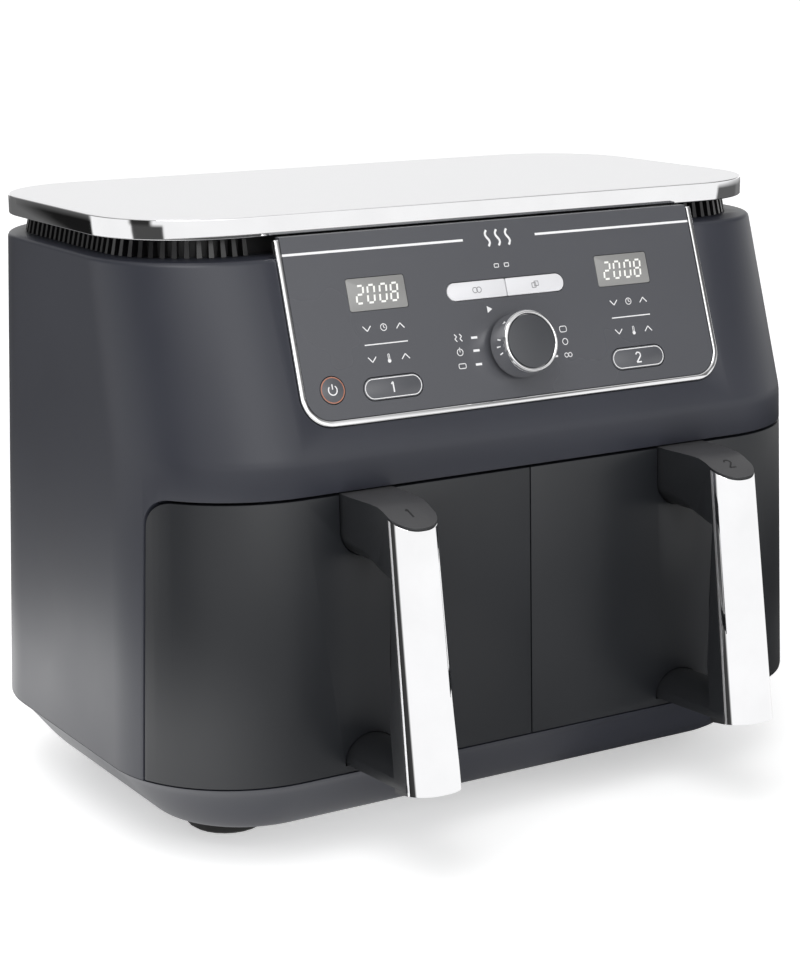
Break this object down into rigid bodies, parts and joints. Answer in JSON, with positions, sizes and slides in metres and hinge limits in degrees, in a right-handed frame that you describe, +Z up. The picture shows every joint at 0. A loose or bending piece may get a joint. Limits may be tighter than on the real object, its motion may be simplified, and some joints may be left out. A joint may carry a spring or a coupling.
{
  "type": "air fryer",
  "caption": "Countertop air fryer with side-by-side pull-out basket drawers, a sloping control panel with displays and a push-turn dial, and a flat metal top cover.",
  "frame": {"origin": "middle of the footprint's bounding box, on the surface the feet stand on", "axes": "+X to the right of someone facing the front, +Y towards the back, +Z up; the drawers open towards -Y"},
  "size_m": [0.415, 0.3466, 0.325],
  "materials": {
    "housing_plastic": "satin moulded plastic, dark slate grey",
    "drawer_plastic": "satin moulded plastic, darker than the housing",
    "foot_rubber": "matte black",
    "cover_metal": "pale satin top with a polished edge",
    "vent_plastic": "black",
    "panel_plastic": "smooth grey with printed marks",
    "chrome_trim": "polished",
    "display_glass": "light grey display with pale digits",
    "pill_plastic": "light grey",
    "key_plastic": "grey with a printed outline",
    "dial_metal": "bright turned rim",
    "dial_cap_plastic": "satin dark grey",
    "steel": "plain",
    "encoder_plastic": "dark",
    "board_laminate": "green laminate",
    "gland_rubber": "matte black",
    "liner_steel": "coated steel",
    "element_steel": "heat-tinted sheath",
    "fan_aluminium": "pressed sheet",
    "motor_steel": "zinc plated",
    "nonstick_coating": "dark non-stick coating",
    "silicone": "soft black",
    "handle_plastic": "satin dark grey",
    "chrome_strip": "polished strip"
  },
  "bodies": {
    "body": {"main_housing": "housing_plastic", "base_tray": "housing_plastic", "front_left_foot": "foot_rubber", "front_right_foot": "foot_rubber", "back_left_foot": "foot_rubber", "back_right_foot": "foot_rubber", "top_cover": "cover_metal", "vent_grille": "vent_plastic", "control_fascia": "panel_plastic", "panel_trim": "chrome_trim", "left_display_window": "display_glass", "right_display_window": "display_glass", "control_board": "board_laminate", "encoder_body": "encoder_plastic", "rear_vent": "vent_plastic", "cord_gland": "gland_rubber", "left_cavity_liner": "liner_steel", "right_cavity_liner": "liner_steel", "left_heating_element": "element_steel", "right_heating_element": "element_steel", "left_fan_motor": "motor_steel", "right_fan_motor": "motor_steel"},
    "left_drawer": {"left_drawer_front": "drawer_plastic", "left_basket": "nonstick_coating", "left_handle": "handle_plastic", "left_handle_wrap": "chrome_strip", "left_handle_screw_upper": "steel", "left_handle_screw_lower": "steel"},
    "left_plate": {"left_crisper_plate": "nonstick_coating", "left_plate_foot_1": "silicone", "left_plate_foot_2": "silicone", "left_plate_foot_3": "silicone", "left_plate_foot_4": "silicone"},
    "left_fan": {"left_convection_fan": "fan_aluminium", "left_fan_shaft": "steel"},
    "right_drawer": {"right_drawer_front": "drawer_plastic", "right_basket": "nonstick_coating", "right_handle": "handle_plastic", "right_handle_wrap": "chrome_strip", "right_handle_screw_upper": "steel", "right_handle_screw_lower": "steel"},
    "right_plate": {"right_crisper_plate": "nonstick_coating", "right_plate_foot_1": "silicone", "right_plate_foot_2": "silicone", "right_plate_foot_3": "silicone", "right_plate_foot_4": "silicone"},
    "right_fan": {"right_convection_fan": "fan_aluminium", "right_fan_shaft": "steel"},
    "dial_rotor": {"encoder_rotor": "encoder_plastic"},
    "dial": {"dial_knob": "dial_metal", "dial_cap": "dial_cap_plastic", "dial_shaft": "steel"},
    "link_button": {"link_button": "pill_plastic"},
    "copy_button": {"copy_button": "pill_plastic"},
    "power_button": {"power_button": "key_plastic"},
    "left_zone_button": {"left_zone_button": "key_plastic"},
    "right_zone_button": {"right_zone_button": "key_plastic"}
  },
  "joints": [
    {"name": "left_drawer_slide", "type": "slide", "parent": "body", "child": "left_drawer", "axis": [0, -1, 0], "range_m": [0, 0.19]},
    {"name": "left_plate_lift", "type": "slide", "parent": "left_drawer", "child": "left_plate", "axis": [0, 0, 1], "range_m": [0, 0.11]},
    {"name": "left_fan_turn", "type": "hinge", "parent": "body", "child": "left_fan", "pos_m": [-0.097, 0.0382, 0.22], "axis": [0, 0, 1], "continuous": true},
    {"name": "right_drawer_slide", "type": "slide", "parent": "body", "child": "right_drawer", "axis": [0, -1, 0], "range_m": [0, 0.19]},
    {"name": "right_plate_lift", "type": "slide", "parent": "right_drawer", "child": "right_plate", "axis": [0, 0, 1], "range_m": [0, 0.11]},
    {"name": "right_fan_turn", "type": "hinge", "parent": "body", "child": "right_fan", "pos_m": [0.097, 0.0382, 0.22], "axis": [0, 0, 1], "continuous": true},
    {"name": "dial_turn", "type": "hinge", "parent": "body", "child": "dial_rotor", "pos_m": [0, -0.08543, 0.25209], "axis": [0, -0.9455, 0.3256], "continuous": true},
    {"name": "dial_press", "type": "slide", "parent": "dial_rotor", "child": "dial", "axis": [0, 0.9455, -0.3256], "range_m": [0, 0.0015], "stiffness_N_per_m": 400, "springref_m": -0.001},
    {"name": "link_button_press", "type": "slide", "parent": "body", "child": "link_button", "axis": [0, 0.9455, -0.3256], "range_m": [0, 0.0008], "stiffness_N_per_m": 300, "springref_m": -0.0008},
    {"name": "copy_button_press", "type": "slide", "parent": "body", "child": "copy_button", "axis": [0, 0.9455, -0.3256], "range_m": [0, 0.0008], "stiffness_N_per_m": 300, "springref_m": -0.0008},
    {"name": "power_button_press", "type": "slide", "parent": "body", "child": "power_button", "axis": [0, 0.9455, -0.3256], "range_m": [0, 0.0008], "stiffness_N_per_m": 300, "springref_m": -0.0008},
    {"name": "left_zone_button_press", "type": "slide", "parent": "body", "child": "left_zone_button", "axis": [0, 0.9455, -0.3256], "range_m": [0, 0.0008], "stiffness_N_per_m": 300, "springref_m": -0.0008},
    {"name": "right_zone_button_press", "type": "slide", "parent": "body", "child": "right_zone_button", "axis": [0, 0.9455, -0.3256], "range_m": [0, 0.0008], "stiffness_N_per_m": 300, "springref_m": -0.0008}
  ]
}
